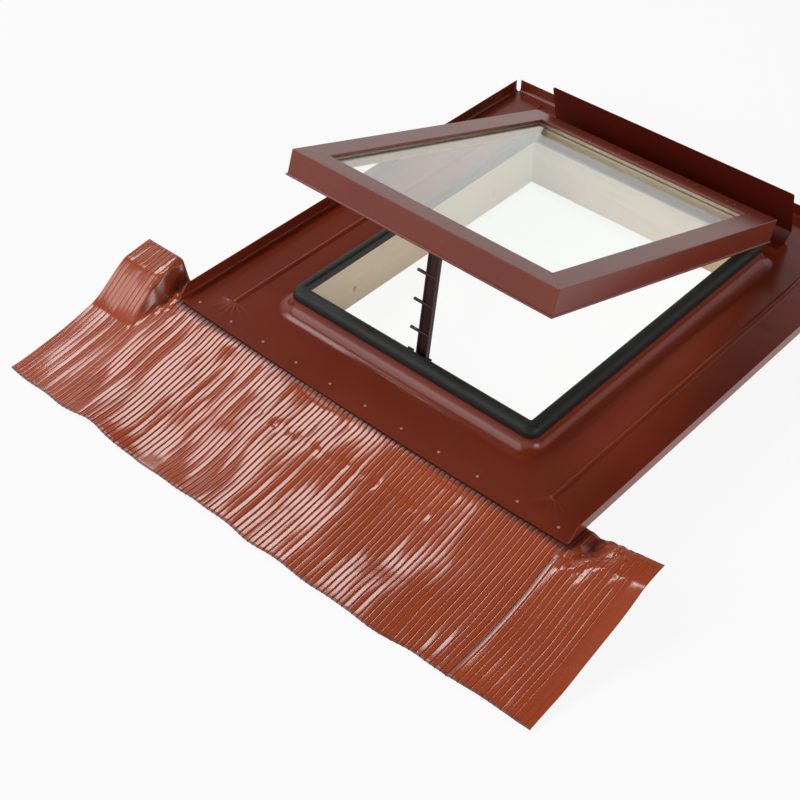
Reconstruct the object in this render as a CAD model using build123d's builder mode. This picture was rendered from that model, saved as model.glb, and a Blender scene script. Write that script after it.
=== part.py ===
from build123d import *
from math import atan2, cos, hypot, radians, sin
import os

# Roof skylight: a pine frame round the opening, a pressed metal collar with a pleated apron,
# a rubber rim gasket, and a glazed sash that is hinged at its upper edge and held by a stay.
# X runs across the roof, Y up the slope towards the hinges, Z stands on the roof plane.
# The origin is the centre of the clear opening, on the underside of the pine frame.

# Pine frame
clear_width = 450.0
clear_length = 575.0
board_thick = 18.0
frame_height = 85.0
board_corner = 16.0
fixing_hole_radius = 3.0
fixing_sink_radius = 6.0
fixing_hole_height = 30.0
fixing_hole_inset = 110.0

# Pressed collar
sheet = 0.8
sheet_clearance = 0.3
collar_side = 165.0
collar_front = 122.0
collar_back = 163.0
collar_drop = 27.0
front_bow = 6.0
upstand_cove = 25.0
flange_height = 22.0
flange_bend = 6.0
flange_slant = 18.0
corner_slit = 0.5
hem_thick = 1.6
hem_depth = 9.0
rib_inset = 70.0
rib_radius = 9.0
rib_sink = 6.5
rib_front = 65.0
rib_back = 20.0

# Pleated apron
apron_overhang = 122.0
apron_tuck = 45.0
apron_reach = 297.5
apron_sheet = 1.0
apron_gap = 0.3
pleat_pitch = 9.3
pleat_height = 2.4
apron_lift = 4.0
wing_rise_left = 42.0
wing_rise_right = 27.0
rivet_radius = 2.2
rivet_head = 1.2
rivet_inset = 16.0
rivet_edge = 30.0
rivet_count = 11

# Rim gasket
gasket_wall = 1.0
gasket_rise = 15.0
gasket_skirt = 4.0
gasket_inner_round = 4.0
gasket_outer_round = 14.0

# Sash
open_angle = 19.2
sash_side = 22.5
sash_front = 33.2
sash_back = 27.1
sash_rise = 46.0
cover_wall = 1.5
cover_face = 40.0
cover_skirt = 42.3
cover_rear_skirt = 34.0
cover_lip = 4.5
cover_round = 1.2
cover_bead = 2.0
mitre_gap = 0.2
rail_side_gap = 1.0
rail_top_gap = 0.3
rail_depth = 28.7
rebate_width = 15.5
pane_edge_gap = 1.0
pane_thick = 3.0
pane_space = 6.0
pane_below_cover = 4.5
tape_thick = 0.6
tape_width = 10.0
spacer_width = 5.0
spacer_inset = 2.0
seal_width = 6.5

# Hinges at the upper edge
hinge_behind = 34.0
hinge_above = 29.0
hinge_inset = 75.0
knuckle_radius = 4.5
knuckle_length = 20.0
knuckle_gap = 0.4
pin_radius = 2.0
pin_clearance = 0.05
pin_head_radius = 3.4
pin_head = 1.2
leaf_thick = 2.0
leaf_bend = 1.2
leaf_wing = 14.0
leaf_foot = 10.0
leaf_gap = 0.6
screw_head_radius = 2.6
screw_head = 1.1

# Guard sheet behind the hinges
guard_sheet = 1.0
guard_height = 100.0
guard_lean = 19.0
guard_behind = 80.0
guard_bend_rise = 16.0
guard_foot = 22.0
guard_corner = 4.0
guard_bend = 3.0
guard_rivets_edge = 27.5
guard_rivets_count = 5

# Stay and its catch
stay_offset = 12.0
stay_width = 20.0
stay_thick = 8.5
stay_foot_gap = 1.5
stay_foot_below_rim = 5.0
stay_below_top = 45.0
stay_behind_front = 45.0
stay_boss_radius = 5.0
stay_pin_radius = 2.5
stay_pin_clearance = 0.05
stay_recess = 1.2
stay_edge = 3.5
stay_tip = 8.0
peg_first = 55.0
peg_pitch = 50.0
peg_count = 3
peg_radius = 2.5
peg_length = 16.0
peg_proud = 1.0
bracket_sheet = 2.0
bracket_gap = 0.4
bracket_plate_height = 11.0
bracket_wing = 9.0
bracket_ear_radius = 6.5
catch_sheet = 1.6
catch_clearance = 2.0
catch_finger = 11.0
catch_height = 30.0
catch_below_rim = 12.0
catch_top_rise = 13.0
catch_bead_radius = 1.4
catch_board_gap = 0.2

# Derived places
half_w = clear_width / 2
half_l = clear_length / 2
outer_w = half_w + board_thick
outer_l = half_l + board_thick
rim_z = frame_height
plane_z = rim_z - collar_drop
stand_w = outer_w + sheet_clearance + sheet
stand_l = outer_l + sheet_clearance + sheet
stand_corner = board_corner + sheet_clearance + sheet
collar_w = half_w + collar_side
front_y = -half_l - collar_front
back_y = half_l + collar_back
flange_top = plane_z + flange_height
apron_width = 2 * (collar_w + apron_overhang)
rib_x = collar_w - rib_inset
rib_y0 = -half_l - rib_front
rib_y1 = back_y - rib_back
gasket_out = sheet_clearance + gasket_wall
gasket_w = stand_w + gasket_out
gasket_l = stand_l + gasket_out
gasket_top = rim_z + gasket_rise
hinge_y = half_l + hinge_behind
hinge_z = rim_z + hinge_above
sash_w = half_w + sash_side
sash_l = (clear_length + sash_front + sash_back) / 2
sash_top = sash_rise - hinge_above
sash_mid = half_l + sash_back - sash_l - hinge_y
rear_face = sash_mid + sash_l
lean = radians(open_angle)

# The sash lies on a plane of its own, turned about the hinge axis to the open position
hinge_plane = Plane(origin=(0, hinge_y, hinge_z), x_dir=(1, 0, 0), z_dir=(0, sin(lean), cos(lean)))
sash_origin = hinge_plane.from_local_coords(Vector(0, sash_mid, sash_top))
sash_plane = Plane(origin=sash_origin, x_dir=hinge_plane.x_dir, z_dir=hinge_plane.z_dir)

os.makedirs("parts", exist_ok=True)


def save(piece, name):
    """Label a finished piece and write it to its own file."""
    piece.part.label = name
    export_step(piece.part, f"parts/{name}.step")


# Pine frame: two full-length side boards, and two short boards between them

def side_board(side):
    with BuildPart() as board:
        with BuildSketch(Plane.XY):
            with Locations((side * (half_w + board_thick / 2), 0)):
                Rectangle(board_thick, 2 * outer_l)
        extrude(amount=frame_height)
        outer = board.edges().filter_by(Axis.Z).group_by(Axis.X)[-1 if side > 0 else 0]
        fillet(outer, board_corner)
        inner_face = Plane((side * half_w, 0, fixing_hole_height), x_dir=(0, 1, 0), z_dir=(-side, 0, 0))
        with Locations(inner_face):
            with GridLocations(2 * (half_l - fixing_hole_inset), 0, 2, 1):
                CounterSinkHole(fixing_hole_radius, fixing_sink_radius, depth=board_thick)
    return board


def end_board(end):
    with BuildPart() as board:
        with BuildSketch(Plane.XY):
            with Locations((0, end * (half_l + board_thick / 2))):
                Rectangle(clear_width, board_thick)
        extrude(amount=frame_height)
    return board


save(side_board(-1), "frame_board_left")
save(side_board(1), "frame_board_right")
save(end_board(-1), "frame_board_front")
save(end_board(1), "frame_board_back")


# Pressed collar: the form up to its top side, less the same form one sheet lower

def collar_form(skin):
    """The collar filled up to its top side, or to its underside where skin is the sheet."""
    depth = flange_height
    w = collar_w - flange_bend
    back = back_y - flange_bend
    with BuildPart() as form:
        with BuildSketch(Plane.XY.offset(plane_z - depth)):
            with BuildLine():
                ThreePointArc((-w, front_y), (0, front_y - front_bow), (w, front_y))
                Polyline((w, front_y), (w, back), (-w, back), (-w, front_y))
            make_face()
        extrude(amount=depth - skin)
        with BuildSketch(Plane.XZ.offset(-(rib_y0 + rib_y1) / 2)):
            with Locations((-rib_x, plane_z - rib_sink), (rib_x, plane_z - rib_sink)):
                Circle(rib_radius - skin)
        extrude(amount=(rib_y1 - rib_y0) / 2, both=True)
        with Locations((-rib_x, rib_y0, plane_z - rib_sink), (rib_x, rib_y0, plane_z - rib_sink)):
            Sphere(rib_radius - skin)
        with BuildSketch(Plane.XY.offset(plane_z - skin)):
            RectangleRounded(2 * (stand_w - skin), 2 * (stand_l - skin), stand_corner - skin)
        extrude(amount=collar_drop + skin)
        level = form.edges().filter_by_position(Axis.Z, plane_z - skin - 0.01, plane_z - skin + 0.01)
        reach_x = stand_w + 1
        reach_y = stand_l + 1
        foot = level.filter_by(lambda e: abs(e.center().X) < reach_x and abs(e.center().Y) < reach_y)
        fillet(foot, upstand_cove + skin)
    return form


def flange_line(edge):
    """The middle line of a turned-up edge, from the flat sheet to the flange's top."""
    middle = plane_z - sheet / 2
    FilletPolyline((edge - 2 * flange_bend, middle), (edge - sheet / 2, middle),
                   (edge - sheet / 2, flange_top), radius=flange_bend - sheet / 2)


upper_form = collar_form(0)
lower_form = collar_form(sheet)
side_end = back_y - flange_bend - corner_slit

with BuildPart() as flashing_collar:
    add(upper_form.part)
    add(lower_form.part, mode=Mode.SUBTRACT)
    with BuildSketch(Plane.XZ.offset(-(front_y + side_end) / 2)) as side_profile:
        with BuildLine():
            flange_line(collar_w)
        trace(line_width=sheet)
        mirror(about=Plane.YZ)
    extrude(amount=(side_end - front_y) / 2, both=True)
    with BuildSketch(Plane.YZ):
        with BuildLine():
            flange_line(back_y)
        trace(line_width=sheet)
    extrude(amount=collar_w - flange_bend - corner_slit, both=True)
    with BuildSketch(Plane.YZ):
        with BuildLine():
            Polyline((front_y - 1, plane_z + sheet), (front_y - 1, flange_top + 1),
                     (front_y + flange_slant, flange_top + 1), close=True)
        make_face()
    extrude(amount=collar_w + 1, both=True, mode=Mode.SUBTRACT)
    with BuildSketch(Plane.XY.offset(plane_z - sheet - hem_thick)):
        with BuildLine():
            w = collar_w - flange_bend
            ThreePointArc((-w, front_y), (0, front_y - front_bow), (w, front_y))
            Line((w, front_y), (w, front_y + hem_depth))
            ThreePointArc((w, front_y + hem_depth), (0, front_y - front_bow + hem_depth), (-w, front_y + hem_depth))
            Line((-w, front_y + hem_depth), (-w, front_y))
        make_face()
    extrude(amount=hem_thick)
save(flashing_collar, "flashing_collar")


# Rim gasket: a round-topped strip that clips over the boards and the upstand

with BuildPart() as rim_gasket:
    with BuildSketch(Plane.XY.offset(rim_z)):
        RectangleRounded(2 * gasket_w, 2 * gasket_l, stand_corner + gasket_out)
        RectangleRounded(clear_width, clear_length, gasket_inner_round / 2, mode=Mode.SUBTRACT)
    extrude(amount=gasket_rise)
    fillet(rim_gasket.faces().sort_by(Axis.Z)[-1].inner_wires()[0].edges(), gasket_inner_round)
    fillet(rim_gasket.faces().sort_by(Axis.Z)[-1].outer_wire().edges(), gasket_outer_round)
    with BuildSketch(Plane.XY.offset(rim_z)):
        RectangleRounded(2 * gasket_w, 2 * gasket_l, stand_corner + gasket_out)
        inner = stand_w + sheet_clearance
        RectangleRounded(2 * inner, 2 * (stand_l + sheet_clearance), stand_corner + sheet_clearance,
                         mode=Mode.SUBTRACT)
    extrude(amount=-gasket_skirt)
save(rim_gasket, "rim_gasket")


# Pleated apron: one thin sheet in narrow zigzag pleats that falls from the collar to the roof

tucked_run = (apron_tuck + front_bow) / apron_reach


def apron_height(x, run):
    """The sheet's height at x, where run goes from 0 under the collar to 1 at the front edge."""
    tucked = plane_z - sheet - hem_thick - apron_gap - pleat_height - apron_sheet
    fall = min((1 - run) / (1 - tucked_run), 1) ** 1.6
    height = apron_lift + (tucked - apron_lift) * fall
    wing = max(abs(x) - collar_w, 0) / (apron_width / 2 - collar_w)
    rise = wing_rise_left if x < 0 else wing_rise_right
    return height + rise * wing ** 1.5 * (1 - run) ** 1.3


def apron_wire(run):
    """The zigzag section of the apron at one station of its run."""
    y = front_y + apron_tuck - run * apron_reach
    count = 2 * round(apron_width / pleat_pitch / 2) * 2
    top = []
    for i in range(count + 1):
        x = -apron_width / 2 + i * apron_width / count
        top.append((x, apron_height(x, run) + apron_sheet + pleat_height * (i % 2)))
    under = [(x, z - apron_sheet) for x, z in reversed(top)]
    return [Vector(x, y, z) for x, z in top + under]


apron_stations = (0.0, tucked_run, 0.36, 0.68, 1.0)

with BuildPart() as pleated_apron:
    for run in apron_stations:
        points = apron_wire(run)
        with BuildSketch(Plane.XZ.offset(-points[0].Y)):
            with BuildLine():
                Polyline([(p.X, p.Z) for p in points], close=True)
            make_face()
    loft(ruled=True)
save(pleated_apron, "pleated_apron")

rivet_pitch = 2 * (collar_w - rivet_edge) / (rivet_count - 1)
with BuildPart() as apron_rivets:
    with BuildSketch(Plane.XY.offset(plane_z)):
        with Locations((0, front_y + rivet_inset)):
            with GridLocations(rivet_pitch, 0, rivet_count, 1):
                Circle(rivet_radius)
    extrude(amount=rivet_head)
    chamfer(apron_rivets.faces().filter_by(Axis.Z).group_by(Axis.Z)[-1].edges(), rivet_head * 0.6)
save(apron_rivets, "apron_rivets")


# Guard sheet: an upright plate that leans over the hinges, bent down to a foot on the collar

guard_y = half_l + guard_behind
guard_bend_y = guard_y + guard_bend_rise
guard_bend_z = plane_z + guard_bend_rise
guard_middle = plane_z + guard_sheet / 2

with BuildPart() as rear_guard:
    with BuildSketch(Plane.YZ):
        with BuildLine():
            FilletPolyline((guard_y - guard_foot, guard_middle), (guard_y, guard_middle),
                           (guard_bend_y, guard_bend_z),
                           (guard_bend_y - guard_lean, plane_z + guard_height), radius=guard_bend)
        trace(line_width=guard_sheet)
    extrude(amount=sash_w, both=True)
    corners = rear_guard.edges().filter_by(Axis.Y, reverse=True).filter_by(Axis.X, reverse=True)
    top_z = plane_z + guard_height
    corners = corners.filter_by(lambda e: e.center().Z > top_z - guard_sheet and e.length < 2 * guard_sheet)
    fillet(corners, guard_corner)
save(rear_guard, "rear_guard")

guard_rivets_pitch = 2 * (sash_w - guard_rivets_edge) / (guard_rivets_count - 1)
with BuildPart() as guard_rivets:
    with BuildSketch(Plane.XY.offset(plane_z + guard_sheet)):
        with Locations((0, guard_y - guard_foot / 2)):
            with GridLocations(guard_rivets_pitch, 0, guard_rivets_count, 1):
                Circle(rivet_radius)
    extrude(amount=rivet_head)
    chamfer(guard_rivets.faces().filter_by(Axis.Z).group_by(Axis.Z)[-1].edges(), rivet_head * 0.6)
save(guard_rivets, "guard_rivets")


# Sash: four folded covers with mitred corners over four pine rails, round a double pane

def edge_plane(direction):
    """A plane on the sash's top whose x axis points out over one edge."""
    return Plane(origin=sash_plane.origin, x_dir=direction, z_dir=sash_plane.z_dir)


def mitre(edge, reach, run, gap, low):
    """The outline between the two mitre lines of one edge, a little below its lowest place."""
    inner = reach - cover_face - 1
    outer = reach + cover_bead + 1
    with BuildSketch(edge.offset(low - 1)) as outline:
        with BuildLine():
            Polyline((outer, run - reach + outer - gap), (inner, run - reach + inner - gap),
                     (inner, -(run - reach + inner - gap)), (outer, -(run - reach + outer - gap)), close=True)
        make_face()
    return outline.sketch


def sash_cover(edge, reach, run, skirt, bead):
    section = Plane(origin=edge.origin, x_dir=edge.x_dir, z_dir=-edge.y_dir)
    inner = reach - cover_face
    with BuildPart() as cover:
        with BuildSketch(section):
            with BuildLine():
                FilletPolyline((inner, -cover_lip), (inner, 0), (reach, 0), (reach, -skirt + 2 * cover_bead),
                               radius=cover_round)
                if bead:
                    ThreePointArc((reach, -skirt + 2 * cover_bead), (reach + cover_bead, -skirt + cover_bead),
                                  (reach, -skirt))
                else:
                    Line((reach, -skirt + 2 * cover_bead), (reach, -skirt))
                Polyline((reach, -skirt), (reach - cover_wall, -skirt), (reach - cover_wall, -cover_wall),
                         (inner + cover_wall, -cover_wall), (inner + cover_wall, -cover_lip), (inner, -cover_lip))
            make_face()
        extrude(amount=run + 2, both=True)
        extrude(mitre(edge, reach, run, mitre_gap, -skirt), amount=skirt + 2, mode=Mode.INTERSECT)
    return cover


def sash_rail(edge, reach, run):
    section = Plane(origin=edge.origin, x_dir=edge.x_dir, z_dir=-edge.y_dir)
    inner = reach - cover_face
    outer = reach - cover_wall - rail_side_gap
    top = -cover_wall - rail_top_gap
    bottom = top - rail_depth
    ledge = -pane_below_cover - cover_wall - 2 * pane_thick - pane_space - tape_thick
    with BuildPart() as rail:
        with BuildSketch(section):
            with BuildLine():
                Polyline((inner, bottom), (outer, bottom), (outer, top), (inner + rebate_width, top),
                         (inner + rebate_width, ledge), (inner, ledge), close=True)
            make_face()
        extrude(amount=run + 2, both=True)
        extrude(mitre(edge, reach, run, mitre_gap / 2, bottom), amount=2 - bottom, mode=Mode.INTERSECT)
    return rail


across = sash_plane.x_dir
along = sash_plane.y_dir
sash_edges = (
    ("left", edge_plane(-across), sash_w, sash_l, cover_skirt, True),
    ("right", edge_plane(across), sash_w, sash_l, cover_skirt, True),
    ("front", edge_plane(-along), sash_l, sash_w, cover_skirt, True),
    ("rear", edge_plane(along), sash_l, sash_w, cover_rear_skirt, False),
)
for side, edge, reach, run, skirt, bead in sash_edges:
    save(sash_cover(edge, reach, run, skirt, bead), f"sash_cover_{side}")
    save(sash_rail(edge, reach, run), f"sash_rail_{side}")

pane_w = sash_w - cover_face + rebate_width - pane_edge_gap
pane_l = sash_l - cover_face + rebate_width - pane_edge_gap
glass_top = -pane_below_cover - cover_wall
inner_pane_top = glass_top - pane_thick - pane_space


def pane(top):
    with BuildPart() as glass:
        with BuildSketch(sash_plane.offset(top)):
            Rectangle(2 * pane_w, 2 * pane_l)
        extrude(amount=-pane_thick)
    return glass


def pane_ring(top, inset, width, thick):
    """A flat frame that follows the panes' edge."""
    with BuildPart() as ring:
        with BuildSketch(sash_plane.offset(top)):
            Rectangle(2 * (pane_w - inset), 2 * (pane_l - inset))
            Rectangle(2 * (pane_w - inset - width), 2 * (pane_l - inset - width), mode=Mode.SUBTRACT)
        extrude(amount=-thick)
    return ring


seal_inset = rebate_width - pane_edge_gap - cover_wall - seal_width
save(pane(glass_top), "outer_pane")
save(pane(inner_pane_top), "inner_pane")
save(pane_ring(glass_top - pane_thick, spacer_inset, spacer_width, pane_space), "pane_spacer")
save(pane_ring(inner_pane_top - pane_thick, spacer_inset, tape_width, tape_thick), "glazing_tape")
save(pane_ring(-cover_wall, seal_inset, seal_width, pane_below_cover), "glazing_seal")


# Hinges: each has a leaf on the collar's upstand, a leaf on the sash and a headed pin

leaf_half = 1.5 * knuckle_length + knuckle_gap
leaf_line = leaf_thick / 2
pin_line = knuckle_radius - leaf_line


def knuckles(plane, spans):
    """Barrel pieces round the hinge axis, between the given places along it."""
    for low, high in spans:
        with Locations(plane.offset((low + high) / 2)):
            Cylinder(knuckle_radius, high - low)


def pin_bore(plane):
    with Locations(plane):
        Cylinder(pin_radius + pin_clearance, 2 * leaf_half + 2, mode=Mode.SUBTRACT)


def frame_leaf(x):
    axis_plane = Plane(origin=(x, hinge_y, hinge_z), x_dir=(0, 1, 0), z_dir=(1, 0, 0))
    foot_y = stand_l + gasket_out + sheet_clearance + leaf_line - hinge_y
    up_y = leaf_line - (hinge_y - half_l - sash_back - leaf_thick - leaf_gap)
    foot_top = rim_z - hinge_z
    with BuildPart() as leaf:
        with BuildSketch(axis_plane):
            with BuildLine():
                FilletPolyline((foot_y, foot_top - leaf_foot), (foot_y, foot_top + 1), (up_y, foot_top + 7),
                               (up_y, 0), radius=leaf_bend)
            trace(line_width=leaf_thick)
        extrude(amount=leaf_half, both=True)
        with BuildSketch(axis_plane):
            with Locations((0, 0)):
                Circle(knuckle_radius + leaf_gap)
        extrude(amount=knuckle_length / 2 + knuckle_gap, both=True, mode=Mode.SUBTRACT)
        knuckles(axis_plane, [(-leaf_half, -knuckle_length / 2 - knuckle_gap),
                              (knuckle_length / 2 + knuckle_gap, leaf_half)])
        pin_bore(axis_plane)
    return leaf


def sash_leaf(x):
    origin = hinge_plane.from_local_coords(Vector(x, 0, 0))
    axis_plane = Plane(origin=origin, x_dir=hinge_plane.y_dir, z_dir=hinge_plane.x_dir)
    face = rear_face + leaf_line
    low = -cover_rear_skirt + sash_top + 2
    with BuildPart() as leaf:
        with BuildSketch(axis_plane):
            with BuildLine():
                Line((face, low), (face, pin_line + leaf_line))
            trace(line_width=leaf_thick)
        extrude(amount=leaf_half + leaf_wing, both=True)
        with BuildSketch(axis_plane):
            with BuildLine():
                Line((face, pin_line), (0, pin_line))
            trace(line_width=leaf_thick)
        extrude(amount=knuckle_length / 2, both=True)
        knuckles(axis_plane, [(-knuckle_length / 2, knuckle_length / 2)])
        pin_bore(axis_plane)
    return leaf


hinge_places = (("left", hinge_inset - half_w), ("right", half_w - hinge_inset))
for side, x in hinge_places:
    save(frame_leaf(x), f"hinge_frame_leaf_{side}")
    save(sash_leaf(x), f"hinge_sash_leaf_{side}")

with BuildPart() as hinge_pins:
    for side, x in hinge_places:
        start = Plane(origin=(x - leaf_half, hinge_y, hinge_z), x_dir=(0, 1, 0), z_dir=(1, 0, 0))
        with BuildSketch(start):
            Circle(pin_radius)
        extrude(amount=2 * leaf_half)
        with BuildSketch(start):
            Circle(pin_head_radius)
        extrude(amount=-pin_head)
save(hinge_pins, "hinge_pins")

leaf_foot_z = rim_z - leaf_foot / 2
leaf_foot_y = stand_l + gasket_out + sheet_clearance + leaf_thick
with BuildPart() as hinge_frame_screws:
    for side, x in hinge_places:
        with BuildSketch(Plane((x, leaf_foot_y, leaf_foot_z), x_dir=(-1, 0, 0), z_dir=(0, 1, 0))):
            with GridLocations(knuckle_length, 0, 3, 1):
                Circle(screw_head_radius)
        extrude(amount=screw_head)
save(hinge_frame_screws, "hinge_frame_screws")

with BuildPart() as hinge_sash_screws:
    for side, x in hinge_places:
        origin = hinge_plane.from_local_coords(Vector(x, rear_face + leaf_thick, -knuckle_radius))
        with BuildSketch(Plane(origin=origin, x_dir=hinge_plane.x_dir, z_dir=hinge_plane.y_dir)):
            with GridLocations(2 * leaf_half + leaf_wing, 0, 2, 1):
                Circle(screw_head_radius)
        extrude(amount=screw_head)
save(hinge_sash_screws, "hinge_sash_screws")


# Stay: a flat bar with three side pegs that hangs from a bracket on the front rail

pivot_local_y = sash_mid - sash_l + stay_behind_front
pivot_local_z = sash_top - stay_below_top
pivot = hinge_plane.from_local_coords(Vector(stay_offset, pivot_local_y, pivot_local_z))
foot_y = stay_foot_gap + stay_thick / 2 - half_l
foot_z = rim_z - stay_foot_below_rim
stay_length = hypot(pivot.Y - foot_y, pivot.Z - foot_z)
tilt = atan2(pivot.Y - foot_y, pivot.Z - foot_z)
stay_plane = Plane(origin=pivot, x_dir=(1, 0, 0), z_dir=(0, -cos(tilt), sin(tilt)))
stay_axis = Plane(origin=pivot, x_dir=stay_plane.z_dir, z_dir=(1, 0, 0))

with BuildPart() as stay_arm:
    with BuildSketch(stay_plane):
        with BuildLine():
            half = stay_width / 2
            Polyline((-half, 0), (-half, -stay_length + stay_tip), (-half + stay_tip / 2, -stay_length),
                     (half - stay_tip / 2, -stay_length), (half, -stay_length + stay_tip), (half, 0), close=True)
        make_face()
    extrude(amount=stay_thick / 2, both=True)
    with BuildSketch(stay_plane.offset(stay_thick / 2)):
        with Locations((0, -stay_length / 2)):
            Rectangle(stay_width - 2 * stay_edge, stay_length - 2 * stay_boss_radius - 2 * stay_edge)
    extrude(amount=-stay_recess, mode=Mode.SUBTRACT)
    with BuildSketch(stay_axis):
        Circle(stay_boss_radius)
    extrude(amount=stay_width / 2, both=True)
    for i in range(peg_count):
        depth = stay_thick / 2 + peg_proud - peg_radius
        place = stay_plane.from_local_coords(Vector(half, -peg_first - i * peg_pitch, depth))
        with BuildSketch(Plane(origin=place, x_dir=stay_plane.z_dir, z_dir=(-1, 0, 0))):
            Circle(peg_radius)
        extrude(amount=stay_width + peg_length)
    with BuildSketch(stay_axis):
        Circle(stay_pin_radius + stay_pin_clearance)
    extrude(amount=stay_width, both=True, mode=Mode.SUBTRACT)
save(stay_arm, "stay_arm")

rail_face_y = sash_mid - sash_l + cover_face
ear_in = stay_width / 2 + bracket_gap
rail_bottom = sash_top - cover_wall - rail_top_gap - rail_depth
bracket_plane = Plane(origin=hinge_plane.from_local_coords(Vector(stay_offset, 0, 0)),
                      x_dir=hinge_plane.y_dir, z_dir=hinge_plane.x_dir)

with BuildPart() as stay_bracket:
    with BuildSketch(bracket_plane):
        with Locations((rail_face_y + bracket_sheet / 2, rail_bottom + bracket_plate_height / 2)):
            Rectangle(bracket_sheet, bracket_plate_height)
    extrude(amount=ear_in + bracket_sheet + bracket_wing, both=True)
    for side in (-1, 1):
        with BuildSketch(bracket_plane.offset(side * (ear_in + bracket_sheet / 2))):
            with BuildLine():
                Polyline((rail_face_y, rail_bottom + bracket_plate_height), (rail_face_y, rail_bottom),
                         (pivot_local_y - bracket_ear_radius, pivot_local_z),
                         (pivot_local_y + bracket_ear_radius, pivot_local_z),
                         (pivot_local_y + bracket_ear_radius, rail_bottom),
                         (rail_face_y + bracket_sheet, rail_bottom + bracket_plate_height), close=True)
            make_face()
            with Locations((pivot_local_y, pivot_local_z)):
                Circle(bracket_ear_radius)
        extrude(amount=bracket_sheet / 2, both=True)
    with BuildSketch(bracket_plane):
        with Locations((pivot_local_y, pivot_local_z)):
            Circle(stay_pin_radius + stay_pin_clearance)
    extrude(amount=2 * stay_width, both=True, mode=Mode.SUBTRACT)
save(stay_bracket, "stay_bracket")

pin_half = ear_in + bracket_sheet
with BuildPart() as stay_pivot_pin:
    with BuildSketch(stay_axis):
        Circle(stay_pin_radius)
    extrude(amount=pin_half, both=True)
    with BuildSketch(stay_axis.offset(pin_half)):
        Circle(pin_head_radius)
    extrude(amount=pin_head)
    with BuildSketch(stay_axis.offset(-pin_half)):
        Circle(pin_head_radius)
    extrude(amount=-pin_head)
save(stay_pivot_pin, "stay_pivot_pin")

screw_place = bracket_plane.from_local_coords(Vector(rail_face_y + bracket_sheet,
                                                     rail_bottom + bracket_plate_height / 2, 0))
with BuildPart() as stay_bracket_screws:
    with BuildSketch(Plane(origin=screw_place, x_dir=hinge_plane.x_dir, z_dir=hinge_plane.y_dir)):
        with GridLocations(2 * pin_half + bracket_wing, 0, 2, 1):
            Circle(screw_head_radius)
    extrude(amount=screw_head)
save(stay_bracket_screws, "stay_bracket_screws")


# Catch: a plate on the front board with a finger at each side of the stay's foot

finger_in = stay_width / 2 + catch_clearance
catch_half = finger_in + catch_finger
catch_top = rim_z - catch_below_rim
finger_top = rim_z + catch_top_rise
catch_face = Plane(origin=(stay_offset, -half_l, 0), x_dir=(-1, 0, 0), z_dir=(0, 1, 0))

with BuildPart() as stay_catch:
    with BuildSketch(catch_face):
        with Locations((0, catch_top - catch_height / 2)):
            Rectangle(2 * catch_half, catch_height)
    extrude(amount=catch_sheet)
    with BuildSketch(catch_face.offset(catch_board_gap)):
        for side in (-1, 1):
            with Locations((side * (finger_in + catch_finger / 2), (catch_top + finger_top) / 2 - 1)):
                Rectangle(catch_finger, finger_top - catch_top + 2)
    extrude(amount=catch_sheet - catch_board_gap)
    bead_y = -half_l + catch_board_gap + catch_bead_radius
    for side in (-1, 1):
        x = stay_offset + side * (finger_in + catch_finger / 2)
        with BuildSketch(Plane(origin=(x, bead_y, finger_top), x_dir=(0, 1, 0), z_dir=(1, 0, 0))):
            Circle(catch_bead_radius)
        extrude(amount=catch_finger / 2, both=True)
save(stay_catch, "stay_catch")

with BuildPart() as catch_screws:
    with BuildSketch(catch_face.offset(catch_sheet)):
        with Locations((0, catch_top - catch_height / 2)):
            with GridLocations(2 * finger_in, 0, 2, 1):
                Circle(screw_head_radius)
    extrude(amount=screw_head)
save(catch_screws, "catch_screws")
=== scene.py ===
# %% [markdown]
# # Roof skylight
# A small roof hatch: a pine frame, a pressed metal collar that sheds the rain, a pleated
# apron that is dressed over the tiles, a rubber gasket and a glazed sash held open by a stay.
# The pieces that were built as solids come in first, as a fixed frame, and keep their places.

import math

import bmesh
import bpy
from mathutils import Matrix, Vector, noise


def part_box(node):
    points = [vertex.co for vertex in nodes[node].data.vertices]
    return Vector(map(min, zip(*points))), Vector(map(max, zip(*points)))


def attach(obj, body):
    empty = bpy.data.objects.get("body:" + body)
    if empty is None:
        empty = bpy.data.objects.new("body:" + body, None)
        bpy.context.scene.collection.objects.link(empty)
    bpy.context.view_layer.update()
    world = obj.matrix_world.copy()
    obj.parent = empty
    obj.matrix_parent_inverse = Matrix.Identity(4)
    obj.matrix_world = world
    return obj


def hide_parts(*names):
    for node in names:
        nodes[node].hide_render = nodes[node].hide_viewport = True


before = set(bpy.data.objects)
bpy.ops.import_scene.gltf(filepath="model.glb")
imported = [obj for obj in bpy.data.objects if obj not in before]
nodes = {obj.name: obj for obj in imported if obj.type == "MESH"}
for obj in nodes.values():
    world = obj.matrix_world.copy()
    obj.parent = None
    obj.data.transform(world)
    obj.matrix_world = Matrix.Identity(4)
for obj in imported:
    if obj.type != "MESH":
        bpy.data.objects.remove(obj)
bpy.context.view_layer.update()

# %% [markdown]
# ## The camera
# The photograph was taken from the right of the lower edge, looking down by about 43 degrees.
# The lens is given as a focal length in pixels of an image 800 pixels wide, because that is
# what a fit to the straight edges of the object gives. The camera's own axes are built from
# its azimuth, elevation and roll, so each of the three can be changed by itself.

# %% Camera
IMAGE_WIDTH_PX = 800
FOCAL_PX = 1500.0
SENSOR_MM = 36.0
CAMERA_AZIMUTH = math.radians(42.09)
CAMERA_ELEVATION = math.radians(42.83)
CAMERA_ROLL = math.radians(0.10)
CAMERA_PLACE = Vector((1.1223, -1.5592, 1.5691))


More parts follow.
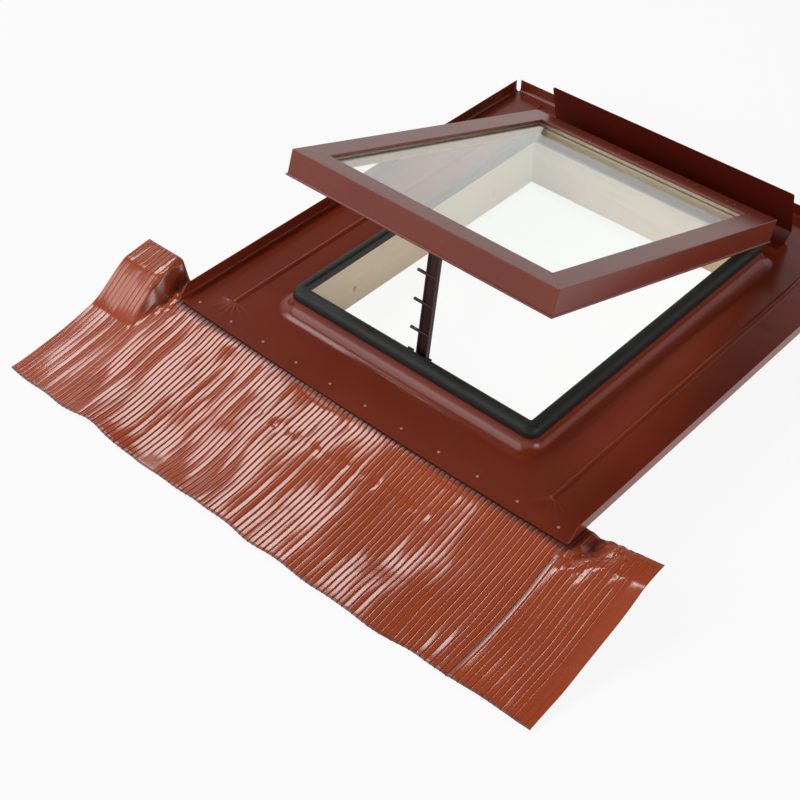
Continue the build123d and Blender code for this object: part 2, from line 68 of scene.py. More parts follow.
def camera_axes(azimuth, elevation, roll):
    """The camera's right, up and forward directions."""
    forward = Vector((-math.sin(azimuth) * math.cos(elevation),
                      math.cos(azimuth) * math.cos(elevation), -math.sin(elevation)))
    level = Vector((math.cos(azimuth), math.sin(azimuth), 0))
    upright = level.cross(forward)
    right = level * math.cos(roll) + upright * math.sin(roll)
    up = upright * math.cos(roll) - level * math.sin(roll)
    return right, up, forward


right, up, forward = camera_axes(CAMERA_AZIMUTH, CAMERA_ELEVATION, CAMERA_ROLL)
camera_data = bpy.data.cameras.new("camera")
camera_data.sensor_width = SENSOR_MM
camera_data.lens = FOCAL_PX / IMAGE_WIDTH_PX * SENSOR_MM
camera_data.clip_end = 50
camera = bpy.data.objects.new("camera", camera_data)
turn = Matrix((right, up, -forward)).transposed().to_4x4()
camera.matrix_world = Matrix.Translation(CAMERA_PLACE) @ turn
bpy.context.scene.collection.objects.link(camera)
bpy.context.scene.camera = camera
print("lens mm", round(camera_data.lens, 1))

# %% [markdown]
# ## Light, floor and backdrop
# Glossy sheet metal shows the room around it as much as its own colour, so it matters where
# each face looks. The flat sheet mirrors the dark ceiling, the cove below the gasket mirrors a
# panel at the front left, and the pleats catch a panel overhead. The sash and the glass look
# out under the ceiling's edge. The world is white to what is seen directly, in a
# reflection or through glass, and dimmer as light, so the paint keeps its colour.

# %% World
WORLD_LIGHT = 0.45
WORLD_SEEN = 1.0


def link(tree, out, into):
    """Join an output socket to an input socket."""
    tree.links.new(out, into)


def math_node(tree, kind, first, second=0.0):
    """One Math node; each side is a number or another node's output."""
    node = tree.nodes.new("ShaderNodeMath")
    node.operation = kind
    for socket, value in zip(node.inputs, (first, second)):
        if isinstance(value, float):
            socket.default_value = value
        else:
            link(tree, value, socket)
    return node.outputs[0]


def seen_rays(tree):
    """1 for a ray that shows the background: camera, glossy or transmitted."""
    path = tree.nodes.new("ShaderNodeLightPath")
    either = math_node(tree, "MAXIMUM", path.outputs["Is Camera Ray"], path.outputs["Is Transmission Ray"])
    return math_node(tree, "MAXIMUM", either, path.outputs["Is Glossy Ray"])


world = bpy.data.worlds.new("studio")
bpy.context.scene.world = world
world.use_nodes = True
tree = world.node_tree
background = tree.nodes["Background"]
seen = tree.nodes.new("ShaderNodeBackground")
seen.inputs["Color"].default_value = (1, 1, 1, 1)
seen.inputs["Strength"].default_value = WORLD_SEEN
background.inputs["Color"].default_value = (1, 1, 1, 1)
background.inputs["Strength"].default_value = WORLD_LIGHT
mix = tree.nodes.new("ShaderNodeMixShader")
link(tree, seen_rays(tree), mix.inputs[0])
link(tree, background.outputs[0], mix.inputs[1])
link(tree, seen.outputs[0], mix.inputs[2])
link(tree, mix.outputs[0], tree.nodes["World Output"].inputs["Surface"])
print("world gives", WORLD_LIGHT, "as light and shows", WORLD_SEEN)


# %% Lamps
def panel(name, place, target, width, height, watts):
    """A rectangular soft lamp at a place, pointing at a target."""
    data = bpy.data.lights.new(name, "AREA")
    data.shape = "RECTANGLE"
    data.size = width
    data.size_y = height
    data.energy = watts
    lamp = bpy.data.objects.new(name, data)
    aim = (Vector(target) - Vector(place)).to_track_quat("-Z", "Y")
    lamp.matrix_world = Matrix.Translation(place) @ aim.to_matrix().to_4x4()
    bpy.context.scene.collection.objects.link(lamp)
    return lamp


panel("cove_panel", (-1.9, -2.6, 2.2), (0, -0.2, 0.05), 2.4, 2.8, 56)
panel("apron_panel", (-2.6, 0.25, 3.5), (-0.1, -0.5, 0.05), 1.8, 1.0, 42)
panel("side_panel", (2.9, -0.5, 0.85), (-0.2, 0, 0.05), 1.6, 0.9, 22)
print("lamps", len(bpy.data.lights))

# %% Floor and ceiling
FLOOR_HALF = 6.0
CEILING_HALF = 5.0
CEILING_HEIGHT = 4.0
CEILING_GREY = (0.06, 0.06, 0.06, 1)
FLOOR_GREY = (0.9, 0.9, 0.9, 1)
FLOOR_SEEN_SHARE = 0.9


def plane_of_room(name, half, height):
    """A level square that belongs to the room, not to the object."""
    bm = bmesh.new()
    bmesh.ops.create_grid(bm, x_segments=1, y_segments=1, size=half)
    bmesh.ops.translate(bm, verts=bm.verts, vec=(0, 0, height))
    mesh = bpy.data.meshes.new(name)
    bm.to_mesh(mesh)
    bm.free()
    piece = bpy.data.objects.new(name, mesh)
    bpy.context.scene.collection.objects.link(piece)
    return piece


floor = plane_of_room("floor", FLOOR_HALF, 0.0)
ceiling = plane_of_room("ceiling", CEILING_HALF, CEILING_HEIGHT)
ceiling_paint = bpy.data.materials.new("ceiling_paint")
ceiling_paint.use_nodes = True
shader = ceiling_paint.node_tree.nodes["Principled BSDF"]
shader.inputs["Base Color"].default_value = CEILING_GREY
shader.inputs["Roughness"].default_value = 0.9
ceiling.data.materials.append(ceiling_paint)

floor_paint = bpy.data.materials.new("floor_paint")
floor_paint.use_nodes = True
tree = floor_paint.node_tree
shader = tree.nodes["Principled BSDF"]
shader.inputs["Base Color"].default_value = FLOOR_GREY
shader.inputs["Roughness"].default_value = 0.9
glow = tree.nodes.new("ShaderNodeEmission")
glow.inputs["Strength"].default_value = 1.0
mix = tree.nodes.new("ShaderNodeMixShader")
link(tree, math_node(tree, "MULTIPLY", seen_rays(tree), FLOOR_SEEN_SHARE), mix.inputs[0])
link(tree, shader.outputs[0], mix.inputs[1])
link(tree, glow.outputs[0], mix.inputs[2])
link(tree, mix.outputs[0], tree.nodes["Material Output"].inputs["Surface"])
floor.data.materials.append(floor_paint)
print("floor and ceiling", 2 * FLOOR_HALF, 2 * CEILING_HALF, "m wide")

# %% [markdown]
# ## Finishes
# Every finish is a small node tree on Object coordinates: the object sits at the origin, so
# these are metres in the object's own frame, and the pattern keeps its scale on every piece.

# %% Helpers for node trees
def new_finish(name):
    """A new material, its node tree, its shader and the Object coordinates in it."""
    finish = bpy.data.materials.new(name)
    finish.use_nodes = True
    tree = finish.node_tree
    shader = tree.nodes["Principled BSDF"]
    coords = tree.nodes.new("ShaderNodeTexCoord")
    return finish, tree, shader, coords.outputs["Object"]


def mapped(tree, vector, scale):
    """Stretch coordinates by a scale for each axis."""
    node = tree.nodes.new("ShaderNodeMapping")
    node.inputs["Scale"].default_value = scale
    link(tree, vector, node.inputs["Vector"])
    return node.outputs["Vector"]


def noise_of(tree, vector, scale, detail=3.0, rough=0.5, distortion=0.0):
    """Smooth noise between 0 and 1."""
    node = tree.nodes.new("ShaderNodeTexNoise")
    node.inputs["Scale"].default_value = scale
    node.inputs["Detail"].default_value = detail
    node.inputs["Roughness"].default_value = rough
    node.inputs["Distortion"].default_value = distortion
    link(tree, vector, node.inputs["Vector"])
    return node.outputs["Fac"]


def ramp(tree, value, stops):
    """A colour ramp with (place, colour) stops."""
    node = tree.nodes.new("ShaderNodeValToRGB")
    band = node.color_ramp
    while len(band.elements) < len(stops):
        band.elements.new(0.5)
    for element, (place, colour) in zip(band.elements, stops):
        element.position = place
        element.color = (*colour, 1)
    link(tree, value, node.inputs["Fac"])
    return node.outputs["Color"]


def span(tree, value, low, high):
    """Stretch a 0 to 1 value to a range."""
    node = tree.nodes.new("ShaderNodeMapRange")
    node.inputs["To Min"].default_value = low
    node.inputs["To Max"].default_value = high
    link(tree, value, node.inputs["Value"])
    return node.outputs["Result"]


def bump(tree, shader, height, strength, distance):
    """Let a 0 to 1 height bend a finish's normals; the distance is in metres."""
    node = tree.nodes.new("ShaderNodeBump")
    node.inputs["Strength"].default_value = strength
    node.inputs["Distance"].default_value = distance
    link(tree, height, node.inputs["Height"])
    link(tree, node.outputs["Normal"], shader.inputs["Normal"])


print("helpers for finishes are ready")

# %% [markdown]
# ## Painted sheet
# Collar, covers, rear sheet and apron are coil-coated sheet: one even colour, a gloss coat and
# slow ripples from the rolling mill, which show only in how the reflections bend. The colour
# moves between two near tones, and the ripples are a bump on slow noise. The rear sheet's tones are
# darker, as painted shade, and the rivet heads are far paler, as a painted highlight.

# %% Coated sheet metal
def coated_sheet(name, dark, light, rough=0.3, ripple=0.0004, ripple_scale=9.0, speck=0.012, shine=0.25):
    """Gloss paint on thin sheet: even colour, and slow ripples that bend the reflections."""
    finish, tree, shader, place = new_finish(name)
    cloud = noise_of(tree, place, 6.0, 4.0)
    link(tree, ramp(tree, cloud, [(0.3, dark), (0.7, light)]), shader.inputs["Base Color"])
    shader.inputs["Specular IOR Level"].default_value = shine
    link(tree, span(tree, noise_of(tree, place, 35.0, 3.0), rough - speck, rough + speck),
         shader.inputs["Roughness"])
    slow = noise_of(tree, place, ripple_scale, 2.0)
    bump(tree, shader, slow, 1.0, ripple)
    return finish


COLLAR_DARK = (0.200, 0.024, 0.008)
COLLAR_LIGHT = (0.235, 0.031, 0.011)
collar_paint = coated_sheet("collar_paint", COLLAR_DARK, COLLAR_LIGHT, rough=0.22, ripple=0.0009, shine=0.4)
cover_paint = coated_sheet("cover_paint", (0.195, 0.030, 0.014), (0.220, 0.036, 0.017), rough=0.27,
                           ripple=0.0002, shine=0.42)
# The rear guard is a darker copy of the sheet paint: painted shade for the shadow of the open sash.
guard_shaded_paint = coated_sheet("guard_shaded_paint", (0.120, 0.012, 0.006), (0.140, 0.016, 0.008), rough=0.25,
                           ripple=0.0002)
apron_paint = coated_sheet("apron_paint", (0.43, 0.070, 0.020), (0.51, 0.088, 0.026), rough=0.15,
                           ripple=0.0002, ripple_scale=30.0, shine=0.7)
# The rivet heads are far paler than the sheet: a painted highlight in place of the glint on each small
# dome.
rivet_highlight_paint = coated_sheet("rivet_highlight_paint", (0.58, 0.30, 0.26), (0.66, 0.36, 0.31), rough=0.3, shine=0.6)
stay_paint = coated_sheet("stay_paint", (0.018, 0.005, 0.004), (0.026, 0.008, 0.006), rough=0.35)
print("paints", [finish.name for finish in bpy.data.materials if finish.name.endswith("_paint")])

# %% [markdown]
# ## Creases where the ribs end
# Where a pressed rib runs out, the flat sheet in front of it puckers in a small fan. The solid
# collar is left as it is, so the fan is part of its bump: an angle about the rib's end, taken
# through a sine, and faded out with the distance.

# %% Creases at the rib ends
RIB_END = (0.320, -0.3525)
CREASE_START = 0.004
CREASE_REACH = 0.055
CREASES_A_RADIAN = 17.0
CREASE_SHARE = 0.2


def crease_rib_ends(finish):
    """Shallow creases that fan out where each pressed rib runs out into the flat sheet."""
    tree = finish.node_tree
    split = tree.nodes.new("ShaderNodeSeparateXYZ")
    place = [node for node in tree.nodes if node.type == "TEX_COORD"][0]
    link(tree, place.outputs["Object"], split.inputs[0])
    aside = math_node(tree, "SUBTRACT", math_node(tree, "ABSOLUTE", split.outputs["X"]), RIB_END[0])
    ahead = math_node(tree, "SUBTRACT", RIB_END[1], split.outputs["Y"])
    squares = [math_node(tree, "MULTIPLY", side, side) for side in (aside, ahead)]
    away = math_node(tree, "SQRT", math_node(tree, "ADD", *squares))
    turn = math_node(tree, "ARCTAN2", aside, ahead)
    folds = math_node(tree, "SINE", math_node(tree, "MULTIPLY", turn, CREASES_A_RADIAN))
    fade = math_node(tree, "SUBTRACT", 1.0, math_node(tree, "DIVIDE", away, CREASE_REACH))
    fade = math_node(tree, "MAXIMUM", fade, 0.0)
    front = math_node(tree, "GREATER_THAN", ahead, CREASE_START)
    folds = math_node(tree, "MULTIPLY", folds, math_node(tree, "MULTIPLY", fade, front))
    height = tree.nodes["Principled BSDF"].inputs["Normal"].links[0].from_node.inputs["Height"]
    slow = height.links[0].from_socket
    link(tree, math_node(tree, "ADD", slow, math_node(tree, "MULTIPLY", folds, CREASE_SHARE)), height)


crease_rib_ends(collar_paint)
print("crease fans at x", -RIB_END[0], RIB_END[0], "y", RIB_END[1])

# %% [markdown]
# ## Shade in the grooves
# Little light gets into a groove one millimetre wide, or under the collar's hem, and this shade is
# painted into the colour. The mesh of the apron carries a number from 0 to 1 for how much painted
# shade each point gets, in the grooves, under the hem, on the rolled corner's side, along the seam,
# in the hollow at the right and along the cut edge, and the paint reads it: it goes darker and less
# glossy there.

# %% Shade from the mesh's own attribute
SHADE_ATTRIBUTE = "groove"
SHADE_COLOUR = (0.10, 0.014, 0.006, 1)
SHADE_DULLS = 0.25


def shade_grooves(finish):
    """Paint shade into a finish: darken and dull it where the mesh's attribute says that a point lies in
    shade.
    """
    tree = finish.node_tree
    shader = tree.nodes["Principled BSDF"]
    paint = shader.inputs["Base Color"].links[0].from_socket
    depth = tree.nodes.new("ShaderNodeAttribute")
    depth.attribute_name = SHADE_ATTRIBUTE
    mix = tree.nodes.new("ShaderNodeMix")
    mix.data_type = "RGBA"
    colours = [socket for socket in mix.inputs if socket.type == "RGBA"]
    colours[1].default_value = SHADE_COLOUR
    link(tree, depth.outputs["Fac"], mix.inputs["Factor"])
    link(tree, paint, colours[0])
    result = [socket for socket in mix.outputs if socket.type == "RGBA"][0]
    link(tree, result, shader.inputs["Base Color"])
    rough = shader.inputs["Roughness"].links[0].from_socket
    dull = math_node(tree, "MULTIPLY", depth.outputs["Fac"], SHADE_DULLS)
    link(tree, math_node(tree, "ADD", rough, dull), shader.inputs["Roughness"])


shade_grooves(apron_paint)
print("shaded", apron_paint.name, "with nodes", len(apron_paint.node_tree.nodes))

# %% [markdown]
# ## Pine
# The frame and the rails of the sash are planed pine under a clear varnish. The grain is noise
# that is stretched along the board, so each direction of board has a finish of its own. The side
# boards and the rails get copies mixed towards a lighter tone: painted light on their inner faces,
# which lie in shade.

# %% Pine
PINE_TONES = ((0.30, (0.56, 0.42, 0.26)), (0.50, (0.68, 0.54, 0.37)), (0.70, (0.74, 0.62, 0.45)))
# The light tone that painted light mixes the pine towards.
PAINTED_LIGHT_PINE = (1.0, 0.90, 0.74)
GRAIN_STRETCH = {"x": (1.2, 14, 14), "y": (14, 1.2, 14)}


def pine(name, along, painted_light=0.0):
    """Pine whose grain runs along the given axis, x or y; the last argument mixes it towards a lighter
    tone, as painted light on boards that lie in shade.
    """
    finish, tree, shader, place = new_finish(name)
    stretch = GRAIN_STRETCH[along]
    grain_place = mapped(tree, place, stretch)
    rings = noise_of(tree, grain_place, 3.0, 3.0, 0.55, 0.4)
    fine = noise_of(tree, mapped(tree, place, tuple(8 * s for s in stretch)), 4.0, 2.0)
    both = tree.nodes.new("ShaderNodeMix")
    both.inputs["Factor"].default_value = 0.5
    link(tree, rings, both.inputs["A"])
    link(tree, fine, both.inputs["B"])
    colour = ramp(tree, both.outputs["Result"],
                  [(place, tuple(c + (top - c) * painted_light for c, top in zip(tone, PAINTED_LIGHT_PINE)))
                   for place, tone in PINE_TONES])
    link(tree, colour, shader.inputs["Base Color"])
    shader.inputs["Roughness"].default_value = 0.5
    shader.inputs["Specular IOR Level"].default_value = 0.2
    bump(tree, shader, fine, 0.25, 0.0004)
    return finish


# The side boards and the rails are lighter copies of one pine: painted light on faces in shade.
pine_across = pine("pine_across", "x")
pine_along = pine("pine_along", "y", painted_light=0.5)
rail_across = pine("rail_across", "x", painted_light=0.4)
rail_along = pine("rail_along", "y", painted_light=0.3)
print("pine runs", list(GRAIN_STRETCH))

# %% [markdown]
# ## Rubber, fittings and glass
# The gasket is dull black rubber with a fine grain. The hinges are zinc plated, and the strip
# between the panes is bright metal. The panes are clear with a trace of green; for shadow rays
# they are plain transparent, so the timber below them is lit.

# %% Rubber, seals, metal fittings
def rubber(name, colour, rough):
    """Dull rubber: near-even colour and a fine grain."""
    finish, tree, shader, place = new_finish(name)
    cloud = noise_of(tree, place, 60.0, 4.0)
    link(tree, ramp(tree, cloud, [(0.3, tuple(0.85 * c for c in colour)), (0.7, colour)]),
         shader.inputs["Base Color"])
    link(tree, span(tree, noise_of(tree, place, 25.0), rough - 0.06, rough + 0.06),
         shader.inputs["Roughness"])
    bump(tree, shader, noise_of(tree, place, 400.0, 2.0), 0.15, 0.0003)
    shader.inputs["Specular IOR Level"].default_value = 0.3
    return finish


def bright_metal(name, colour, rough):
    """Bare or plated metal with cloudy patches."""
    finish, tree, shader, place = new_finish(name)
    cloud = noise_of(tree, place, 90.0, 3.0)
    link(tree, ramp(tree, cloud, [(0.35, tuple(0.8 * c for c in colour)), (0.65, colour)]),
         shader.inputs["Base Color"])
    shader.inputs["Metallic"].default_value = 1.0
    link(tree, span(tree, noise_of(tree, place, 140.0), rough - 0.07, rough + 0.07),
         shader.inputs["Roughness"])
    return finish


gasket_rubber = rubber("gasket_rubber", (0.012, 0.012, 0.011), 0.5)
seal_rubber = rubber("seal_rubber", (0.03, 0.025, 0.02), 0.6)
zinc = bright_metal("zinc", (0.62, 0.62, 0.60), 0.38)
spacer_strip = bright_metal("spacer_strip", (0.80, 0.70, 0.52), 0.5)
print("finishes so far", len(bpy.data.materials))

# %% Glass
PANE_IOR = 1.38
PANE_TINT = [(0.4, (0.975, 0.99, 0.965)), (0.6, (0.98, 0.99, 0.97))]
PANE_SHADOW = (0.95, 0.96, 0.95, 1)


def glass(name):
    """Clear glass that lets shadow rays straight through."""
    finish, tree, shader, place = new_finish(name)
    shader.inputs["Roughness"].default_value = 0.0
    shader.inputs["IOR"].default_value = PANE_IOR
    shader.inputs["Transmission Weight"].default_value = 1.0
    tint = ramp(tree, noise_of(tree, place, 3.0), PANE_TINT)
    link(tree, tint, shader.inputs["Base Color"])
    clear = tree.nodes.new("ShaderNodeBsdfTransparent")
    clear.inputs["Color"].default_value = PANE_SHADOW
    path = tree.nodes.new("ShaderNodeLightPath")
    mix = tree.nodes.new("ShaderNodeMixShader")
    link(tree, path.outputs["Is Shadow Ray"], mix.inputs[0])
    link(tree, shader.outputs[0], mix.inputs[1])
    link(tree, clear.outputs[0], mix.inputs[2])
    link(tree, mix.outputs[0], tree.nodes["Material Output"].inputs["Surface"])
    return finish


pane_glass = glass("pane_glass")
print("glass", pane_glass.name, "index", PANE_IOR)

# %% Give each carried-over node its finish
finish_of = {
    "flashing_collar": collar_paint, "pleated_apron": apron_paint, "rear_guard": guard_shaded_paint,
    "rim_gasket": gasket_rubber, "glazing_seal": seal_rubber, "glazing_tape": seal_rubber,
    "apron_rivets": rivet_highlight_paint, "guard_rivets": rivet_highlight_paint, "pane_spacer": spacer_strip,
    "outer_pane": pane_glass, "inner_pane": pane_glass, "stay_arm": stay_paint,
    "stay_bracket": stay_paint, "stay_catch": stay_paint,
    "frame_board_left": pine_along, "frame_board_right": pine_along,
    "frame_board_front": pine_across, "frame_board_back": pine_across,
    "sash_rail_left": rail_along, "sash_rail_right": rail_along,
    "sash_rail_front": rail_across, "sash_rail_rear": rail_across,
}
for name, piece in nodes.items():
    paint = finish_of.get(name)
    if paint is None:
        paint = cover_paint if name.startswith("sash_cover") else zinc
    piece.data.materials.clear()
    piece.data.materials.append(paint)
print("finished nodes", len(nodes))

# %% [markdown]
# ## The pleated apron
# The real sheet is soft: its pleats wander, its back corner at the left has rolled up, its
# ends are crushed against the collar, and its right edge was never pleated. The sheet is laid
# out as a fine grid over the same run as the solid, and each of these is a small term of its
# own that moves the grid, so each can be found and changed by itself. The crushed ends follow no
# rule, so the grid is laid out in code and not by nodes. Lengths are in metres.

# %% The apron's sizes
APRON_HALF = 0.512
COLLAR_HALF = 0.390
APRON_BACK = -0.3645
APRON_RUN = 0.2975
TUCKED_RUN = 51.0 / 297.5
TUCKED_HEIGHT = 0.0519
APRON_LIFT = 0.004
APRON_SHEET = 0.0008
PLEAT_PITCH = 0.0093
PLEAT_HEIGHT = 0.0015
# Places across one pleat, from 0 to 1, and how far up the ridge the sheet is there.
RIDGE_AT = {0.0: 0.0, 0.06: 0.80, 0.12: 0.975, 0.22: 1.0, 0.78: 1.0, 0.88: 0.975, 0.94: 0.80}
ROWS = 56
SEAM_X = 0.386
FLAT_END = 0.488
LOWEST = 0.0012
print("apron", 2 * APRON_HALF, "by", APRON_RUN, "m, pleats every", PLEAT_PITCH)


# %% The terms that shape it
def smooth(low, high, value):
    """0 below low, 1 above high, and a smooth step between."""
    t = min(max((value - low) / (high - low), 0.0), 1.0)
    return t * t * (3 - 2 * t)


def wave(a, b, seed):
    """Smooth noise in about -1 to 1."""
    return 2.0 * noise.noise(Vector((a, b, seed)))


def fall_of(x, y, run):
    """The height of the sheet's middle, before the pleats."""
    fall = min((1 - run) / (1 - TUCKED_RUN), 1) ** 1.6
    height = APRON_LIFT + (TUCKED_HEIGHT - APRON_LIFT) * fall
    if x < 0:
        steep = 0.030 * smooth(-0.497, -0.410, y) + 0.010 * smooth(-0.43, -0.36, y)
        return height + steep * (1 - smooth(-0.430, -0.414, x))
    wing = max(x - COLLAR_HALF, 0) / (APRON_HALF - COLLAR_HALF)
    hollow = 0.010 * math.exp(-((x - 0.412) / 0.014) ** 2 - ((y + 0.385) / 0.030) ** 2)
    return height + 0.019 * wing ** 1.4 * (1 - run) ** 1.3 - hollow * smooth(0.396, 0.408, x)


def pleat(across, number, x, y, free):
    """Flat-topped ridges with narrow grooves; each ridge has its own lumps and its own tilt."""
    lumps = 1 + free * 0.12 * wave(number * 1.7, y * 22, 9.0)
    shallow = (1 - 0.45 * smooth(0.385, 0.410, -x)) * (1 - 0.5 * smooth(SEAM_X - 0.002, SEAM_X + 0.006, x))
    flat = 1 - smooth(FLAT_END - 0.006, FLAT_END + 0.004, x)
    tilt = free * 0.0007 * (across - 0.5) * wave(number * 0.9, y * 9, 6.0)
    return (PLEAT_HEIGHT * RIDGE_AT[across] * lumps * shallow + tilt) * flat


# Each crushed spot has its middle, how far it spreads and how high its wrinkles are.
CRUSHED_SPOTS = (((-0.415, -0.412), 0.026, 0.006), ((0.405, -0.410), 0.028, 0.005),
                 ((0.440, -0.390), 0.034, 0.003))
FOLD_START, FOLD_END = Vector((-0.428, -0.372)), Vector((-0.412, -0.420))
FOLD_DEPTH, FOLD_WIDTH = 0.012, 0.006
DENT_ROW_Y = 0.487


def crushed(x, y):
    """Wrinkles where the sheet was beaten down at the collar's two front corners."""
    height = 0.0
    for centre, spread, size in CRUSHED_SPOTS:
        away = math.hypot(x - centre[0], y - centre[1]) / spread
        along = (x - centre[0]) * 0.6 + (y - centre[1]) * 0.8
        across = (x - centre[0]) * 0.8 - (y - centre[1]) * 0.6
        height += size * math.exp(-away * away) * wave(across * 120, along * 35, 11.0)
    return height


def dents(x, y):
    """Slow dips over the whole sheet, and a row of small dents across the pleats."""
    row = math.exp(-((y + DENT_ROW_Y - 0.04 * (x - 0.03)) / 0.006) ** 2) * smooth(-0.17, -0.13, x)
    row *= 1 - smooth(0.20, 0.24, x)
    row *= 0.4 + 0.9 * wave(x * 75, y * 90, 7.0)
    slow = 0.0040 * wave(x * 8, y * 9, 4.0) + 0.0004 * wave(x * 24, y * 20, 14.0)
    calm = (1 - 0.7 * smooth(0.25, 0.40, x)) * (1 - 0.7 * smooth(0.37, 0.43, -x))
    return slow * calm - 0.0018 * row


def fold(x, y):
    """The deep fold that runs down from the collar's left front corner."""
    from_start = Vector((x, y)) - FOLD_START
    line = FOLD_END - FOLD_START
    t = min(max(from_start.dot(line) / line.length_squared, 0), 1)
    away = (from_start - t * line).length
    return -FOLD_DEPTH * math.exp(-(away / FOLD_WIDTH) ** 2) * (1 - 0.6 * t)


def depth_of(across, x, y, run):
    """How much painted shade a point gets: grooves, the side of the rolled corner, the hem, the seam, the
    hollow at the right and the cut edge.
    """
    # Each term below is painted shade in the apron's colour.
    shade = (1 - RIDGE_AT[across]) * (1 - 0.4 * smooth(SEAM_X - 0.002, SEAM_X + 0.002, x))
    side = smooth(-0.431, -0.426, x) * (1 - smooth(-0.414, -0.408, x)) * smooth(-0.470, -0.455, y)
    under_hem = 1 - smooth(0.180, 0.200, run)
    inside = 1 - smooth(COLLAR_HALF, COLLAR_HALF + 0.01, abs(x))
    seam = math.exp(-((x - SEAM_X + 0.001) / 0.0025) ** 2)
    hollow = math.exp(-((x - 0.412) / 0.016) ** 2 - ((y + 0.385) / 0.025) ** 2)
    return max(shade, 0.5 * side, 0.9 * under_hem * inside, 0.6 * seam, 0.8 * hollow,
               1.0 if run == 1 else 0.0)


# %% Build the apron
pleats = round(2 * APRON_HALF / PLEAT_PITCH)
lines = [(number, across) for number in range(pleats) for across in RIDGE_AT] + [(pleats, 0.0)]
columns = len(lines) - 1
grid, depths = [], []
for j in range(ROWS + 1):
    run = j / ROWS
    free = smooth(TUCKED_RUN, TUCKED_RUN + 0.05, run)
    for number, across in lines:
        x = -APRON_HALF + 2 * APRON_HALF * (number + across) / pleats
        y = APRON_BACK - APRON_RUN * run * (1 - 0.055 * smooth(0.15, APRON_HALF, x))
        wing = smooth(COLLAR_HALF + 0.002, COLLAR_HALF + 0.02, abs(x))
        loose = max(free, wing)
        z = fall_of(x, y, run) + pleat(across, number, x, y, loose)
        z += loose * (dents(x, y) + crushed(x, y) + fold(x, y))
        z += 0.0013 * loose * smooth(SEAM_X - 0.001, SEAM_X + 0.001, x)
        z -= 0.0014 * free * math.exp(-((x - SEAM_X + 0.003) / 0.0025) ** 2)
        wander = loose * 0.0011 * wave(x * 9, y * 14, 3.0)
        edge = free * 0.003 * wave(x * 14, 2.0, 8.0) * smooth(0.8, 1.0, run)
        grid.append(Vector((x * (1 + 0.004 * run) + wander, y + edge, max(z, LOWEST))))
        depths.append(depth_of(across, x, y, run))
bm = bmesh.new()
verts = [bm.verts.new(place) for place in grid]
for j in range(ROWS):
    for i in range(columns):
        near = j * (columns + 1) + i
        far = near + columns + 1
        bm.faces.new((verts[near], verts[far], verts[far + 1], verts[near + 1]))
apron_mesh = bpy.data.meshes.new("apron_sheet")
bm.to_mesh(apron_mesh)
bm.free()
apron_mesh.shade_smooth()
groove = apron_mesh.attributes.new(SHADE_ATTRIBUTE, "FLOAT", "POINT")
groove.data.foreach_set("value", depths)
apron = bpy.data.objects.new("apron_sheet", apron_mesh)
bpy.context.scene.collection.objects.link(apron)
thickness = apron.modifiers.new("thickness", "SOLIDIFY")
thickness.thickness = APRON_SHEET
thickness.offset = -1
apron.data.materials.append(apron_paint)
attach(apron, "frame")
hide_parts("pleated_apron")
facing = apron_mesh.polygons[columns * 20].normal.z
print("apron faces", len(apron_mesh.polygons), "normal up", round(facing, 2))

# %% [markdown]
# ## Rivets
# A row of rivet heads is one Geometry Nodes group: a line of points, a flattened ball on each,
# of which the upper half shows, and one finish for all. The same group makes both rows. Each
# input is looked up by its name and set by its socket's identifier.

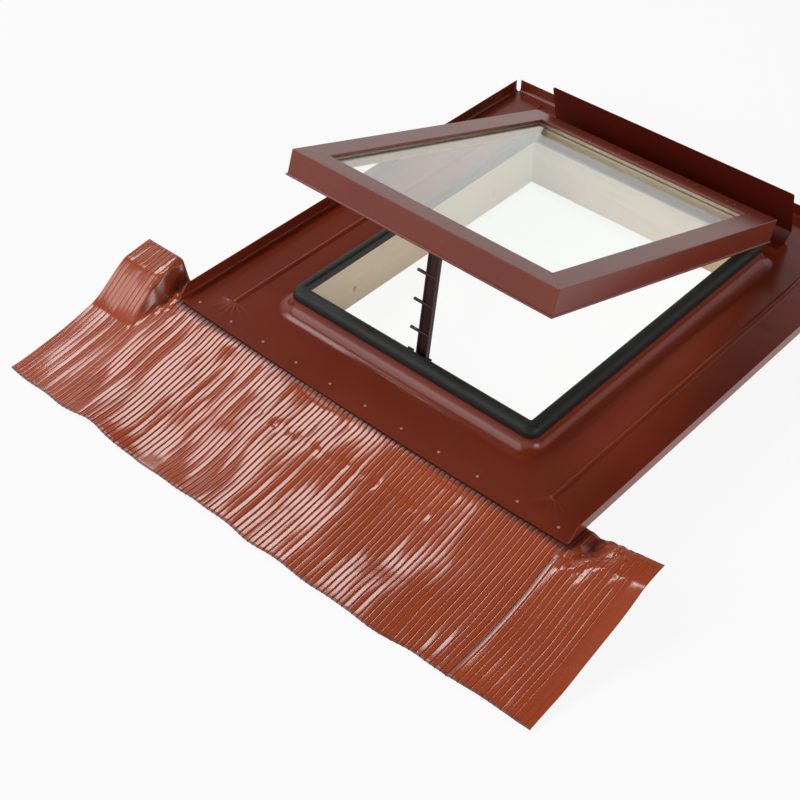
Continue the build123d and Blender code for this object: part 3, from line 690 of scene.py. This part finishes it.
# %% The rivet row group
def rivet_row_group():
    """Build the group: count, first place, step, size of a head and finish go in."""
    group = bpy.data.node_groups.new("rivet_row", "GeometryNodeTree")
    face = group.interface
    for name, kind in (("Count", "Int"), ("Start", "Vector"), ("Step", "Vector"), ("Dome", "Vector"),
                       ("Finish", "Material")):
        face.new_socket(name, in_out="INPUT", socket_type="NodeSocket" + kind)
    face.new_socket("Geometry", in_out="OUTPUT", socket_type="NodeSocketGeometry")
    given = group.nodes.new("NodeGroupInput")
    line = group.nodes.new("GeometryNodeMeshLine")
    dome = group.nodes.new("GeometryNodeMeshUVSphere")
    dome.inputs["Segments"].default_value = 20
    dome.inputs["Rings"].default_value = 12
    dome.inputs["Radius"].default_value = 1.0
    spread = group.nodes.new("GeometryNodeInstanceOnPoints")
    real = group.nodes.new("GeometryNodeRealizeInstances")
    soft = group.nodes.new("GeometryNodeSetShadeSmooth")
    paint = group.nodes.new("GeometryNodeSetMaterial")
    result = group.nodes.new("NodeGroupOutput")
    link(group, given.outputs["Count"], line.inputs["Count"])
    link(group, given.outputs["Start"], line.inputs["Start Location"])
    link(group, given.outputs["Step"], line.inputs["Offset"])
    link(group, line.outputs["Mesh"], spread.inputs["Points"])
    link(group, dome.outputs["Mesh"], spread.inputs["Instance"])
    link(group, given.outputs["Dome"], spread.inputs["Scale"])
    link(group, spread.outputs["Instances"], real.inputs["Geometry"])
    link(group, real.outputs["Geometry"], soft.inputs["Geometry"])
    link(group, soft.outputs["Geometry"], paint.inputs["Geometry"])
    link(group, given.outputs["Finish"], paint.inputs["Material"])
    link(group, paint.outputs["Geometry"], result.inputs["Geometry"])
    return group


def grown(name, group, values, body, node):
    """Run a group once, keep its result as a plain mesh, and put it in a node's place."""
    holder = bpy.data.objects.new(name + "_holder", bpy.data.meshes.new(name + "_holder"))
    bpy.context.scene.collection.objects.link(holder)
    nodes_modifier = holder.modifiers.new("grow", "NODES")
    nodes_modifier.node_group = group
    for item in group.interface.items_tree:
        if item.item_type == "SOCKET" and item.in_out == "INPUT" and item.name in values:
            nodes_modifier[item.identifier] = values[item.name]
    holder.update_tag()
    bpy.context.view_layer.update()
    depsgraph = bpy.context.evaluated_depsgraph_get()
    mesh = bpy.data.meshes.new_from_object(holder.evaluated_get(depsgraph))
    mesh.name = name
    bpy.data.objects.remove(holder)
    piece = bpy.data.objects.new(name, mesh)
    bpy.context.scene.collection.objects.link(piece)
    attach(piece, body)
    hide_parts(node)
    return piece


# %% The two rows
RIVET_LIFT = 0.0002


def row_values(box, count, rise):
    """The inputs that lay a row of heads over the solid heads in a box."""
    low, high = box
    radius = (high[1] - low[1]) / 2
    first = Vector((low[0] + radius, low[1] + radius, low[2] + RIVET_LIFT))
    reach = Vector((high[0] - low[0] - 2 * radius, 0, 0))
    return {"Count": count, "Start": first, "Step": reach / (count - 1), "Finish": rivet_highlight_paint,
            "Dome": Vector((radius, radius, rise))}


rivet_row = rivet_row_group()
front_row = grown("front_rivet_heads", rivet_row, row_values(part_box("apron_rivets"), 11, 0.0009),
                  "frame", "apron_rivets")
guard_row = grown("guard_rivet_heads", rivet_row, row_values(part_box("guard_rivets"), 5, 0.0010),
                  "frame", "guard_rivets")
print("rivet faces", len(front_row.data.polygons), len(guard_row.data.polygons))

# %% Close the scene with its view transform
scene = bpy.context.scene
scene.view_settings.view_transform = "Standard"
